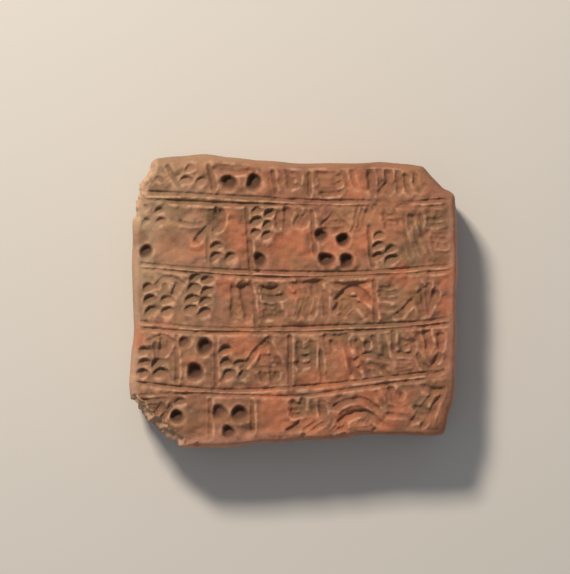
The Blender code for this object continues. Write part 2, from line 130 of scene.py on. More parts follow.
def faceHeight(x, y):
    across = np.abs(x) / (tablet["width"] / 2)
    along = np.abs(y) / (tablet["height"] / 2)
    fall = across ** tablet["facePower"] + along ** tablet["facePower"]
    return tablet["thickness"] - tablet["faceFall"] * fall


def backHeight(x, y):
    patch = tablet["restPatch"]
    reach = np.hypot(x / (patch[0] / 2), y / (patch[1] / 2))
    corner = math.hypot(tablet["width"] / patch[0], tablet["height"] / patch[1])
    return tablet["backRise"] * np.clip((reach - 1) / (corner - 1), 0, None) ** tablet["backPower"]


def fourSides(loop):
    # the outline cut at its four corners, each side with the share of its length at every point
    corners = [int(np.argmax(loop @ np.array(way))) for way in ((-1, 1), (1, 1), (1, -1), (-1, -1))]
    sides = []
    for first, last in zip(corners, corners[1:] + corners[:1]):
        run = loop[(first + np.arange((last - first) % len(loop) + 1)) % len(loop)]
        length = np.concatenate([[0], np.cumsum(np.linalg.norm(np.diff(run, axis=0), axis=1))])
        sides.append((run, length / length[-1]))
    return sides


def onSide(side, share):
    run, length = side
    return np.stack([np.interp(share, length, run[:, 0]), np.interp(share, length, run[:, 1])], axis=-1)


sides = fourSides(onTablet(foundLoop))


def insideOutline(u, v):
    # the place at share u across and v up, blended from the four sides
    top, bottom = onSide(sides[0], u), onSide(sides[2], 1 - u)
    right, left = onSide(sides[1], 1 - v), onSide(sides[3], v)
    corner = [sides[n][0][0] for n in range(4)]  # top left, top right, bottom right, bottom left
    u, v = u[..., None], v[..., None]
    blend = (1 - u) * (v * corner[0] + (1 - v) * corner[3]) + u * (v * corner[1] + (1 - v) * corner[2])
    return (1 - v) * bottom + v * top + (1 - u) * left + u * right - blend


# Stylus work. Each ruled line runs from the left edge to the right: x, y and how strongly it shows there.
marks = {
    "ruleWidth": 1.6, "ruleDepth": 0.4, "ruleTaper": 2.5,
    "dividerWidth": 1.5, "dividerDepth": 0.5, "dividerTaper": 1.5,
    "strokeWidth": 2.2, "strokeDepth": 0.68, "strokeTaper": 1.2,
    "strokeTurn": 7, "strokeShift": 0.25,   # how far the hand turns a stroke, in degrees, and moves it
    "strokeScale": (0.82, 1.1), "strokeForce": (0.75, 1.15),
    "steepWidth": 0.5,          # of a groove's width, what lies on its steep side, away from the hand
    "lipHeight": 0.32, "lipWidth": 0.55,
    "sink": 0.22, "sinkWidth": 2.6,     # how the clay sags along a line
    "holeDepth": 3.0,
    "scoopDepth": 0.38,                     # share of a half-moon dent's width
    "scoopWall": 0.7, "scoopMound": 0.4,    # its steep wall's run, and the clay pushed up where it runs out
    "handSide": (0.45, -1.0),   # the stylus leans this way, so a dent is steep on the other side
    "waver": 0.12,              # how far a line strays from its course
    "drag": 0.45, "dragSize": 5.0,  # how far the clay drags under the stylus, and over what distance
}
rules = [
    [(-46.3, 34.3, 1.5), (-27.6, 33.4, 1.3), (3.7, 31.6, 1.0), (21.0, 31.4, 0.9), (29.0, 31.2, 0.15),
     (34.0, 30.9, 0.15), (41.0, 31.4, 0.8), (47.8, 32.0, 0.9)],
    [(-46.6, 32.0, 0.3), (-36.0, 31.4, 1.1), (-20.0, 30.6, 1.1), (2.1, 30.0, 0.4), (22.0, 29.6, 0.15),
     (38.0, 29.4, 0.2), (47.4, 29.8, 0.5)],
    [(-47.6, 12.0, 0.6), (-24.4, 10.1, 1.0), (9.9, 9.1, 1.1), (30.3, 10.0, 0.9), (48.4, 11.5, 0.6)],
    [(-46.6, 10.3, 0.5), (-18.2, 8.1, 0.6), (2.0, 7.6, 0.9), (33.4, 8.6, 0.5), (49.0, 9.7, 0.7)],
    [(-49.0, -5.8, 0.9), (-26.0, -8.0, 0.5), (3.7, -7.7, 1.0), (36.5, -6.4, 0.9), (49.0, -4.7, 0.8)],
    [(-49.0, -8.0, 0.9), (-24.4, -9.5, 0.7), (20.9, -8.9, 0.7), (44.3, -7.1, 0.8), (49.0, -6.8, 0.6)],
    [(-49.5, -25.0, 0.9), (-22.0, -27.3, 0.8), (5.3, -26.0, 0.9), (31.8, -23.0, 0.9), (47.0, -21.3, 0.9)],
    [(-49.0, -28.9, 0.4), (-30.0, -28.5, 0.5), (0.0, -29.2, 0.6), (24.0, -26.1, 0.7), (47.4, -23.2, 0.5)],
]
dividers = [  # each upright line from its top, some with how strongly it shows there
    [(-39.5, 43.0), (-35.5, 35.6)], [(-26.6, 42.8, 1.4), (-25.8, 40.0, 1.7), (-24.9, 34.6, 1.9)],
    [(-6.7, 41.0), (-5.4, 33.4)], [(4.9, 40.5), (4.9, 33.4)],
    [(-26.1, 28.6, 0.4), (-26.6, 21.0, 0.6), (-26.6, 13.0, 0.8)],
    [(-14.7, 30.0, 0.9), (-14.1, 20.7, 1.5), (-13.3, 9.6, 1.7)],
    [(5.6, 28.6), (6.2, 19.2), (6.8, 14.6)], [(23.4, 23.9), (23.7, 16.1), (24.8, 10.4)],
    [(-13.5, 7.0), (-11.6, -6.6)], [(24.9, 7.4), (25.3, -5.8)], [(-36.3, -10.0), (-36.3, -24.0)],
    [(-24.1, -10.6), (-24.1, -26.0)], [(-1.3, -10.2), (-1.3, -25.6)], [(8.4, -14.6), (8.7, -24.4)],
    [(30.9, -8.6), (30.9, -15.2)], [(-26.0, -30.2), (-26.0, -43.0)], [(-12.9, -30.6), (-12.9, -40.2)],
    [(-22.9, 29.4, 1.0), (-22.2, 26.4, 1.9), (-22.6, 23.4, 1.7), (-23.6, 21.8, 1.0)],   # the trough's edge
]
holes = [  # x, y, width, share of the full depth, and how slanted it was pressed
    (-20.1, 37.0, 5.0, 1.0, 0.4), (-12.2, 37.0, 5.3, 1.0, 0.4), (-46.0, 15.7, 5.0, 0.9, 0.4),
    (-10.1, 12.9, 5.0, 1.0, 0.6), (8.7, 20.4, 5.0, 0.8, 0.6), (15.6, 19.5, 4.7, 1.1, 0.1),
    (10.3, 12.9, 5.0, 0.85, 0.4), (16.5, 12.9, 5.3, 0.85, 0.2), (-34.0, -12.6, 4.6, 0.6, 0.6),
    (-27.6, -13.8, 5.3, 0.95, 0.2), (-30.7, -21.8, 5.4, 0.95, 0.3), (-22.9, -34.9, 5.6, 0.75, 0.9),
    (-16.9, -34.9, 5.6, 0.9, 0.8), (-20.1, -41.0, 4.8, 0.8, 0.9), (-36.0, -35.8, 4.6, 0.9, 0.6),
]
gouges = [  # where the surface is lost: x, y, width, height, angle and depth
    (-24.9, 25.6, 5.4, 8.6, -6, 2.0), (-41.0, -39.0, 5.0, 3.0, -40, 0.5), (18.0, -40.4, 12.0, 2.6, 4, 0.6),
]
scoops = [  # half-moon dents: the width of a block's dents, and their places
    (4.4, [(-31.9, 41.2), (-33.3, 37.7), (-28.6, 37.5)]),
    (4.3, [(-46.6, 28.9), (-41.6, 28.4), (-46.2, 25.0), (-40.8, 24.8)]),
    (4.9, [(-23.8, 17.3), (-24.4, 14.0), (-19.4, 14.0)]),
    (4.8, [(-11.2, 28.2), (-7.5, 27.2), (-11.8, 24.9), (-8.0, 24.0), (-11.8, 21.6), (-8.0, 20.7)]),
    (4.8, [(26.6, 20.6), (26.4, 17.2), (30.4, 16.3), (26.4, 13.9), (30.8, 13.2)]),
    (5.0, [(-45.0, 4.2), (-44.9, 0.6), (-44.4, -3.0), (-39.4, 0.2), (-39.0, -3.3)]),
    (5.2, [(-30.2, 7.2), (-26.4, 6.6), (-31.0, 4.0), (-27.1, 3.2), (-31.4, 0.6), (-27.3, 0.0), (-31.7, -2.6),
           (-27.7, -3.2)]),
    (5.2, [(-46.6, -15.2), (-46.5, -19.1), (-41.6, -18.9), (-47.0, -22.6), (-41.4, -22.4)]),
    (5.0, [(-21.2, -15.2), (-20.8, -19.1), (-16.6, -19.3), (-20.2, -22.8), (-15.2, -22.7)]),
    (4.6, [(-35.2, -31.4)]),
]
# Where signs were, groups of plain strokes: a group's shape, its box (left, bottom, right, top), its count
# and how strongly it shows.
strokeGroups = [
    # first row
    ("bow", (-45.0, 37.0, -39.0, 39.6), 1, 0.8), ("ladder", (-25.2, 40.2, -13.4, 42.8), 2, 1.0),
    ("lattice", (-3.2, 35.2, 2.8, 41.4), 3, 0.8), ("ladder", (7.4, 33.6, 15.2, 40.6), 6, 0.9),
    ("hook", (15.4, 35.4, 20.6, 42.6), 2, 0.9), ("comb", (22.4, 34.6, 33.6, 42.6), 4, 1.15),
    ("slant", (24.0, 33.6, 31.6, 37.6), 3, 0.9), ("hook", (34.4, 33.8, 40.0, 40.0), 2, 0.8),
    # second row
    ("ladder", (-36.6, 22.6, -27.8, 26.4), 1, 0.5), ("slant", (-31.6, 18.8, -27.0, 23.6), 1, 1.5),
    ("comb", (-6.4, 22.8, -1.4, 29.0), 2, 1.3), ("comb", (-3.0, 26.4, 3.4, 29.4), 2, 0.8),
    ("pile", (8.0, 23.0, 16.6, 27.8), 4, 1.1), ("slant", (17.4, 21.8, 24.6, 29.2), 4, 0.5),
    ("lattice", (27.0, 22.4, 33.6, 28.4), 3, 0.45), ("hook", (34.4, 14.0, 42.6, 27.6), 3, 0.4),
    ("ladder", (40.8, 23.2, 47.6, 26.4), 2, 0.6), ("ladder", (44.4, 16.6, 48.8, 21.0), 2, 0.8),
    # third row
    ("bow", (-44.0, 5.2, -33.6, 8.6), 1, 1.1), ("fan", (-42.6, 0.4, -33.6, 7.4), 2, 1.0),
    ("comb", (-20.6, -5.0, -13.8, 5.6), 2, 1.5), ("ladder", (-18.2, -4.0, -15.6, 3.6), 4, 0.8),
    ("ladder", (-9.8, 0.2, -3.0, 5.6), 2, 1.4), ("lattice", (-9.6, -5.4, -3.0, 0.4), 3, 0.6),
    ("comb", (0.2, 1.8, 8.0, 5.8), 5, 0.9), ("ladder", (-0.6, 5.2, 8.6, 6.8), 1, 1.1),
    ("slant", (0.0, -5.2, 7.4, 1.6), 5, 0.5), ("comb", (8.2, -5.2, 11.6, 4.4), 1, 0.8),
    ("bow", (13.4, -4.6, 23.6, 5.8), 2, 1.3), ("ladder", (13.0, 4.0, 22.6, 6.8), 1, 1.2),
    ("slant", (12.0, -3.4, 17.0, 2.6), 2, 0.8), ("ladder", (26.6, -2.4, 32.2, 5.0), 6, 0.5),
    ("slant", (32.2, -4.6, 40.6, 5.2), 1, 1.3), ("fan", (36.6, -4.6, 45.0, 5.6), 4, 1.0),
    ("ladder", (41.0, -0.6, 45.2, 2.4), 1, 0.9),
    # fourth row
    ("bow", (-46.4, -13.0, -35.4, -9.8), 1, 1.0), ("fan", (-45.4, -18.2, -37.0, -10.6), 3, 1.0),
    ("slant", (-16.6, -20.4, -9.0, -11.6), 1, 1.3), ("pile", (-12.6, -20.6, -3.6, -12.8), 4, 0.8),
    ("comb", (-10.2, -25.0, -4.8, -21.4), 4, 0.8), ("lattice", (0.0, -21.2, 7.6, -11.8), 3, 0.9),
    ("ladder", (8.4, -11.4, 17.6, -9.6), 1, 1.3), ("comb", (9.4, -14.4, 16.0, -11.6), 5, 0.9),
    ("hook", (16.6, -23.4, 24.0, -10.6), 2, 0.9), ("bow", (17.0, -22.6, 30.4, -14.6), 2, 0.9),
    ("comb", (24.0, -17.4, 30.0, -10.4), 2, 0.8), ("lattice", (31.6, -17.2, 38.4, -11.0), 3, 0.7),
    ("comb", (39.4, -15.6, 47.2, -8.8), 2, 1.1), ("fan", (35.6, -21.4, 48.2, -14.8), 2, 0.9),
    # fifth row
    ("ladder", (-49.4, -34.0, -38.8, -29.6), 3, 0.9), ("slant", (-46.0, -38.0, -38.0, -31.6), 2, 1.0),
    ("lattice", (-1.6, -36.4, 4.0, -29.8), 3, 0.9), ("comb", (4.8, -36.0, 9.8, -30.2), 2, 0.9),
    ("slant", (-2.6, -40.8, 9.2, -37.0), 4, 0.7), ("bow", (11.0, -37.6, 28.0, -28.6), 2, 1.1),
    ("hook", (26.0, -32.4, 34.0, -26.6), 2, 0.9), ("ladder", (28.6, -36.6, 36.0, -32.0), 2, 0.5),
    ("ladder", (40.2, -28.0, 47.2, -25.6), 1, 1.3), ("slant", (36.0, -38.4, 46.4, -28.6), 2, 0.8),
    ("fan", (38.6, -38.6, 46.4, -29.8), 2, 0.7),
    # small ones between them
    ("slant", (-0.6, 23.4, 4.6, 27.0), 3, 0.8), ("comb", (35.0, 22.6, 40.4, 27.4), 4, 0.5),
    ("ladder", (42.6, 17.8, 48.4, 21.6), 3, 0.6), ("ladder", (14.6, -1.8, 20.8, 2.2), 3, 0.7),
    ("comb", (-9.2, -5.4, -3.6, -2.2), 5, 0.6), ("comb", (0.8, 4.8, 7.8, 7.0), 7, 0.6),
    ("comb", (9.4, -12.6, 16.8, -10.0), 8, 0.7), ("comb", (17.6, -15.2, 23.2, -12.0), 4, 0.7),
    ("ladder", (32.2, -22.4, 36.8, -17.8), 4, 0.6), ("ladder", (40.4, -22.8, 46.8, -19.4), 2, 0.8),
    ("comb", (28.6, -31.4, 33.8, -28.0), 4, 0.7), ("ladder", (37.8, -37.0, 43.2, -32.4), 3, 0.7),
    ("slant", (10.6, -41.2, 16.4, -37.8), 3, 0.7), ("slant", (19.6, -37.8, 25.4, -34.4), 3, 0.6),
    ("ladder", (35.6, -1.0, 40.0, 3.4), 4, 0.5), ("comb", (-14.6, 38.2, -9.8, 41.4), 3, 0.4),
]


def comb(low, high, count):
    # upright strokes side by side
    pitch = np.array([(high[0] - low[0]) / count, 0])
    head = np.array([low[0], high[1]]) + pitch / 2
    foot = low + pitch / 2
    return [[head + (n - 0.15) * pitch, (head + foot) / 2 + n * pitch, foot + (n + 0.08) * pitch]
            for n in range(count)]


def ladder(low, high, count):
    # level strokes one above the other
    pitch = np.array([0, (high[1] - low[1]) / count])
    strokes = []
    for n in range(count):
        start = low + (n + 0.5) * pitch
        end = start + np.array([(high[0] - low[0]) * (0.8 if n % 2 else 1), 0])
        strokes.append([start + 0.15 * pitch, (start + end) / 2 - 0.08 * pitch, end + 0.15 * pitch])
    return strokes


def lattice(low, high, count):
    # two upright strokes with level ones across them
    inner = (high - low) * (0.15, 0.1)
    return comb(low, high, 2) + ladder(low + inner, high - inner, count)


def slant(low, high, count):
    # parallel strokes that rise to the right
    step = (high[0] - low[0]) / (count + 1)
    return [[low + (n * step, 0), np.array([low[0] + (n + 2) * step, high[1]])] for n in range(count)]


def pile(low, high, count):
    # level strokes that get shorter upwards, under two that lean together
    middle = (low[0] + high[0]) / 2
    strokes = [[low, np.array([middle, high[1]])], [np.array([middle, high[1]]), np.array([high[0], low[1]])]]
    for n in range(count):
        share = n / count
        y = low[1] + share * (high[1] - low[1])
        half = (high[0] - low[0]) / 2 * (1 - share) * 0.85
        strokes.append([np.array([middle - half, y]), np.array([middle + half, y])])
    return strokes


def hook(low, high, count):
    # upright strokes that curve to the right at the foot
    pitch = (high[0] - low[0]) / count
    return [[np.array([low[0] + n * pitch, high[1]]),
             np.array([low[0] + (n + 0.15) * pitch, (low[1] + high[1]) / 2]),
             np.array([low[0] + (n + 0.8) * pitch, low[1]])] for n in range(count)]


def fan(low, high, count):
    # strokes that spread from near one foot
    size = high - low
    strokes = []
    for n in range(count):
        share = (n + 0.5) / count
        foot = low + size * (0.5 + (share - 0.5) * 0.25, share * 0.25)
        head = low + size * (share, 1 - abs(share - 0.5) * 0.5)
        strokes.append([head, (foot + head) / 2, foot])
    return strokes


def bow(low, high, count):
    # arched strokes under one another
    rise = (high[1] - low[1]) / count
    strokes = []
    for n in range(count):
        start = np.array([low[0] + n * 0.12 * (high[0] - low[0]), high[1] - (n + 1) * rise])
        strokes.append([start + ((high[0] - start[0]) * t, 0.8 * rise * math.sin(math.pi * t))
                        for t in np.linspace(0, 1, 5)])
    return strokes


groupShapes = {"comb": comb, "ladder": ladder, "fan": fan, "bow": bow, "lattice": lattice, "slant": slant,
               "pile": pile, "hook": hook}


def waver(path, seed):
    # a hand-drawn line strays a little
    path = np.array(path, float)
    if path.shape[1] < 3:
        path = np.column_stack([path, np.ones(len(path))])
    path = curveThrough(path, 5)
    for axis in (0, 1):
        strays = [noise.noise((x * 0.4, y * 0.4, seed + 9.3 * axis)) for x, y, _ in path]
        path[:, axis] += marks["waver"] * np.array(strays)
    path[:, 2] *= [1 + 0.7 * noise.noise((x * 0.12, y * 0.12, seed + 4.4)) for x, y, _ in path]
    return path


ruleLines = [waver(onTablet(rule + [rule[-1]]), number) for number, rule in enumerate(rules)]


def ruleShares(u):
    # for every column, the share of the face's height at which each ruled line crosses it
    v = np.linspace(0, 1, 400)
    place = insideOutline(*np.meshgrid(u, v, indexing="ij"))
    place = place * (1 - 2 * tablet["edgeRoll"] / np.array([tablet["width"], tablet["height"]]))
    shares = []
    for line in ruleLines[::-1]:
        above = place[..., 1] - np.interp(place[..., 0], line[:, 0], line[:, 1])
        shares.append([np.interp(0, column, v) for column in above])
    return np.array(shares).T


def rowShares(u):
    # rows lie along the ruled lines and crowd there, so that a thin line keeps a clean edge
    crossings = ruleShares(u)
    near, far = np.array(tablet["lineRows"]) / tablet["height"]
    knots, counts = [np.zeros(len(u))], []
    spare = tablet["rows"] - 6 * len(rules) - 4 * len(rules) // 2
    gaps = [crossings[:, 0], *(crossings[:, n + 1] - crossings[:, n] for n in range(1, len(rules) - 1, 2))]
    gaps.append(1 - crossings[:, -1])
    between = np.array([gap.mean() - 2 * far for gap in gaps])
    wide = np.round(spare * between / between.sum()).astype(int)
    wide[-1] += spare - wide.sum()
    for n in range(len(rules)):
        counts.append(4 if n % 2 else wide[n // 2])
        for step, rowsIn in ((-far, 1), (-near, 2), (0, 2), (near, 1), (far, None)):
            knots.append(crossings[:, n] + step)
            if rowsIn:
                counts.append(rowsIn)
    counts.append(wide[-1])
    knots.append(np.ones(len(u)))
    knots = np.minimum(np.maximum.accumulate(np.array(knots), axis=0), 1)
    at = np.concatenate([[0], np.cumsum(counts)])
    rows = np.arange(at[-1] + 1)
    found = np.array([np.interp(rows, at, knots[:, column]) for column in range(len(u))])
    return found + tablet["rowSpread"] * (rows / at[-1] - found)


def tabletMesh():
    # a fine grid for the face, rings drawn down its side, and a coarser grid for the plain back
    bm = bmesh.new()
    bmesh.ops.create_grid(bm, x_segments=tablet["columns"], y_segments=tablet["rows"], size=0.5)
    rim = [edge for edge in bm.edges if edge.is_boundary]
    for ring in range(tablet["sideRings"]):
        drawn = bmesh.ops.extrude_edge_only(bm, edges=rim)["geom"]
        bmesh.ops.translate(bm, verts=[g for g in drawn if isinstance(g, bmesh.types.BMVert)], vec=(0, 0, -1))
        rim = [g for g in drawn if isinstance(g, bmesh.types.BMEdge) and g.is_boundary]
    back = bmesh.ops.create_grid(bm, x_segments=tablet["backColumns"], y_segments=tablet["backRows"],
                                 size=0.5 - tablet["backInset"])["verts"]
    bmesh.ops.translate(bm, verts=back, vec=(0, 0, -tablet["sideRings"] - 1))
    backRim = list({edge for vertex in back for edge in vertex.link_edges if edge.is_boundary})
    bmesh.ops.bridge_loops(bm, edges=rim + backRim)
    bmesh.ops.recalc_face_normals(bm, faces=bm.faces)
    mesh = bpy.data.meshes.new("clay_tablet_surface")
    bm.to_mesh(mesh)
    bm.free()
    return mesh


def getCo(mesh, name="co"):
    values = np.empty(len(mesh.vertices) * 3, np.float32)
    mesh.vertices.foreach_get(name, values)
    return values.reshape(-1, 3).astype(float)


def setCo(mesh, co):
    mesh.vertices.foreach_set("co", co.astype(np.float32).ravel())
    mesh.update()


def rough(co, size, octaves=2, seed=0.0):
    # soft noise from -1 to 1 with features of that size
    scaled = co / size + seed
    return np.array([noise.fractal(Vector(p), 0.8, 2.0, octaves) for p in scaled])


mesh = tabletMesh()
grid = getCo(mesh)
low, high = grid.min(axis=0), grid.max(axis=0)
u = (grid[:, 0] - low[0]) / (high[0] - low[0])
v = (grid[:, 1] - low[1]) / (high[1] - low[1])
ring = -grid[:, 2]
column = np.round(u * tablet["columns"]).astype(int)
row = np.round(v * tablet["rows"]).astype(int)
onFace = ring < 0.5
onBack = ring > tablet["sideRings"] + 0.5
print("topology", len(mesh.vertices), "vertices")

shares = rowShares(np.linspace(0, 1, tablet["columns"] + 1))
v = np.where(onBack, v, shares[column, row])

# Which way each ring of the side looks: straight up at the face, straight down at the back.
sideStops = [0, tablet["rollRings"], tablet["sideRings"] - tablet["footRings"], tablet["sideRings"]]
turn = np.interp(ring, sideStops, tablet["sideTurns"])
turn = np.where(onBack, -90, turn) * math.pi / 180
place = insideOutline(u, v)
inset = 1 - np.abs(np.cos(turn)) ** tablet["sideFullness"]
co = np.zeros_like(grid)
roll = 2 * tablet["edgeRoll"] / np.array([tablet["width"], tablet["height"]])
co[:, :2] = place * (1 - roll * inset[:, None])
top, bottom = faceHeight(co[:, 0], co[:, 1]), backHeight(co[:, 0], co[:, 1])
co[:, 2] = (top + bottom) / 2 + np.sin(turn) * (top - bottom) / 2
print("form", co.min(axis=0).round(2), co.max(axis=0).round(2))

# Breaks and chips: each is the hollow that a rough stone of that size leaves where it takes a bite of the
# side.
breaks = {
    # each tier: how far down it lies as a share of the thickness, its rise, its stones' size and their bite
    "upperTiers": [(0.03, 24, 5.4, 0.9), (0.5, -6, 10.0, 1.0)],
    "lowerTiers": [(0.0, 60, 6.5, 2.9), (0.3, 16, 7.0, 2.2), (0.6, -6, 10.0, 1.6)],
    "bites": (0.6, 1.2), "stones": (0.7, 1.1),      # how much these vary
    "facets": 0.45, "roughness": 0.16,              # of a stone, as shares of its size
    "chips": [  # x, y, the stone's size and its bite
        (-14.0, -45.4, 6.0, 0.9), (-3.0, -44.2, 7.0, 1.3), (3.5, -43.8, 6.0, 1.5), (9.0, -43.6, 7.5, 1.2),
        (12.5, -43.3, 3.5, 1.0), (15.5, -43.0, 5.0, 1.6), (20.0, -42.0, 4.0, 0.9), (24.5, -41.7, 7.0, 1.2),
        (30.0, -41.8, 6.0, 0.8), (-8.5, -44.8, 3.5, 0.8), (-30.0, -46.0, 5.5, 1.1), (-51.4, -22.5, 5.0, 1.0),
    ],
    "chipRise": 55,
    "chipPale": 0.2,        # how pale the chips are, where the breaks are 1
    "lowerFlakes": (4.5, 0.75), "upperFlakes": (3.4, 1.0),  # how far in the face is flaked, and how strongly
    # layers of noise: how far each moves the clay, its size, its octaves and its seed
    "even": [(0.25, 16.0, 1, 3.1), (0.22, 7.0, 1, 7.7), (0.05, 2.5, 2, 9.1)],
    "coarse": [(0.62, 2.1, 3, 1.3), (0.3, 5.0, 1, 2.3)],
    "lowerCoarse": 0.7,     # how coarse the lower break is, where the upper one is 1
}
lowerBreak, upperBreak = outlineRuns[1][1], outlineRuns[3][1]


def takeBite(co, broken, pale, x, y, below, rise, size, bite, seed):
    # a rough stone laid against the side, straight out from it, presses what it touches back to its surface
    out = np.array([(x / tablet["width"]) ** 3, (y / tablet["height"]) ** 3, 0])
    out /= np.linalg.norm(out)
    toward = out * math.cos(math.radians(rise)) + (0, 0, math.sin(math.radians(rise)))
    middle = np.array([x, y, faceHeight(x, y) - below]) + toward * (size - bite)
    away = co - middle
    distance = np.linalg.norm(away, axis=1)
    hit = np.flatnonzero(distance < size * (1 + 2 * breaks["roughness"]))
    if not len(hit):
        return
    way = away[hit] / np.maximum(distance[hit], 1e-6)[:, None]
    reach = size * (1 + breaks["roughness"] * rough(way, breaks["facets"], 2, seed))
    inside = distance[hit] < reach
    co[hit[inside]] = middle + way[inside] * reach[inside, None]
    broken[hit[inside]] = pale


def distanceTo(run):
    # how far each vertex is from a stretch of the outline, seen from above
    run = onTablet(run)
    nearest = np.full(len(co), 1e9)
    for a, b in zip(run, run[1:]):
        way = b - a
        share = np.clip((co[:, :2] - a) @ way / (way @ way), 0, 1)
        nearest = np.minimum(nearest, np.linalg.norm(co[:, :2] - a - share[:, None] * way, axis=1))
    return nearest


def flakedAlong(run, flakes):
    width, strength = flakes
    return strength * np.clip(1 - distanceTo(run) / width, 0, 1)


def layered(co, layers):
    return sum(amount * rough(co, size, octaves, seed) for amount, size, octaves, seed in layers)


random.seed(11)
flakes = np.maximum(flakedAlong(lowerBreak, breaks["lowerFlakes"]),
                    flakedAlong(upperBreak, breaks["upperFlakes"]))
broken = np.zeros(len(co))
for run, tiers in ((lowerBreak[1:], breaks["lowerTiers"]), (upperBreak, breaks["upperTiers"])):
    for share, rise, size, bite in tiers:
        below = share * tablet["thickness"]
        for x, y in onTablet(run):
            stone = size * random.uniform(*breaks["stones"])
            taken = bite * random.uniform(*breaks["bites"])
            takeBite(co, broken, 1, x, y, below, rise, stone, taken, random.uniform(0, 90))
chipPale, chipRise = breaks["chipPale"], breaks["chipRise"]
for x, y, size, bite in onTablet(breaks["chips"]):
    takeBite(co, broken, chipPale, x, y, 0, chipRise, size, bite, random.uniform(0, 90))
setCo(mesh, co)
flakes = np.clip(1.6 * flakes + 0.5 * rough(co, 1.8, 2, 61.0) - 0.3, 0, 1)
# a break is pale near the face and fades into the dirt below
fresh = np.clip(3 * co[:, 2] / tablet["thickness"] - 0.7 + 1.2 * rough(co, 6.0, 2, 17.0), 0, 1)
flaky = np.maximum(broken, flakes)
broken = np.maximum(broken * 0.7, flakes) * fresh
print("broken vertices", int((broken > 0).sum()))

# Hand-modelled clay is never quite even, and a break is coarse, the upper one most of all.
normals = getCo(mesh, "normal")
unevenness = layered(co, breaks["even"])
coarse = layered(co, breaks["coarse"])
flatPatch = (co[:, 2] < 0.4) & ~onFace
share = np.clip(flaky * 1.5, 0, 1)
lift = unevenness + (coarse - unevenness) * share * np.where(co[:, 1] < 0, breaks["lowerCoarse"], 1)
lift = np.where(flatPatch, -np.abs(lift) * 0.3, lift)      # what lies on the table only rises from it
co += normals * lift[:, None]
co[:, 2] = np.maximum(co[:, 2], 0)

# The face as a map of heights, row by row, so that it can be softened.
faceIds = np.zeros((tablet["rows"] + 1, tablet["columns"] + 1), int)
faceIds[row[onFace], column[onFace]] = np.flatnonzero(onFace)
faceX, faceY = co[faceIds, 0], co[faceIds, 1]
cut = np.zeros_like(faceX)
lip = np.zeros_like(faceX)
sink = np.zeros_like(faceX)
flat = np.column_stack([faceX.ravel(), faceY.ravel(), np.zeros(faceX.size)])


def roughMap(size, octaves, seed):
    return rough(flat, size, octaves, seed).reshape(faceX.shape)


# Clay drags under the stylus, so strokes and dents are laid out on a slightly wandering map.
dragX = marks["drag"] * roughMap(marks["dragSize"], 2, 21.0)
dragY = marks["drag"] * roughMap(marks["dragSize"], 2, 33.0)
mapX, mapY = faceX, faceY


def near(x0, y0, x1, y1, reach):
    # the part of the map that a mark can touch
    hit = (mapX > x0 - reach) & (mapX < x1 + reach) & (mapY > y0 - reach) & (mapY < y1 + reach)
    rowsHit, columnsHit = np.flatnonzero(hit.any(axis=1)), np.flatnonzero(hit.any(axis=0))
    if not len(rowsHit):
        return None
    return slice(rowsHit[0], rowsHit[-1] + 1), slice(columnsHit[0], columnsHit[-1] + 1)


hand = np.array(marks["handSide"]) / np.linalg.norm(marks["handSide"])


def drawGroove(path, width, depth, taper):
    # path has x, y and strength; the groove is a soft V with pushed-up clay beside it
    path = np.array(path, float)
    window = near(path[:, 0].min(), path[:, 1].min(), path[:, 0].max(), path[:, 1].max(), 3.0)
    if window is None:
        return
    x, y = mapX[window], mapY[window]
    lengths = np.concatenate([[0], np.cumsum(np.linalg.norm(np.diff(path[:, :2], axis=0), axis=1))])
    best = np.full(x.shape, 1e9)
    side = np.zeros(x.shape)
    strength = np.zeros(x.shape)
    along = np.zeros(x.shape)
    for a, b, start, end in zip(path, path[1:], lengths, lengths[1:]):
        way = b[:2] - a[:2]
        share = np.clip(((x - a[0]) * way[0] + (y - a[1]) * way[1]) / max(way @ way, 1e-9), 0, 1)
        distance = np.hypot(x - a[0] - share * way[0], y - a[1] - share * way[1])
        nearer = distance < best
        tilt = (-way[1] * hand[0] + way[0] * hand[1]) / max(math.hypot(*way), 1e-9)
        across = ((y - a[1]) * way[0] - (x - a[0]) * way[1]) / max(math.hypot(*way), 1e-9)
        side = np.where(nearer, np.clip(across * tilt / 0.4, -1, 1), side)
        best = np.where(nearer, distance, best)
        strength = np.where(nearer, a[2] + (b[2] - a[2]) * share, strength)
        along = np.where(nearer, start + (end - start) * share, along)
    # it starts almost full where the stylus was set down, and runs out thin
    starting = np.clip(along / taper * 1.6 + 0.35, 0, 1)
    ending = np.clip((lengths[-1] - along) / taper + 0.05, 0, 1) ** 0.7
    full = starting * ending * strength
    steep, gentle = marks["steepWidth"], width * (0.6 + 0.4 * full) - marks["steepWidth"]
    half = (steep + gentle) / 2 + side * (gentle - steep) / 2
    groove = depth * full * np.clip(1 - best / half, 0, 1) ** 0.9
    pushed = marks["lipHeight"] * full * (0.55 + 0.45 * side)      # the clay is pushed up on the hand's side
    pushed *= np.exp(-((best - half * 1.1) / marks["lipWidth"]) ** 2)
    cut[window] = np.maximum(cut[window], groove)
    lip[window] = np.maximum(lip[window], pushed)
    sink[window] = np.maximum(sink[window], marks["sink"] * full * np.exp(-(best / marks["sinkWidth"]) ** 2))


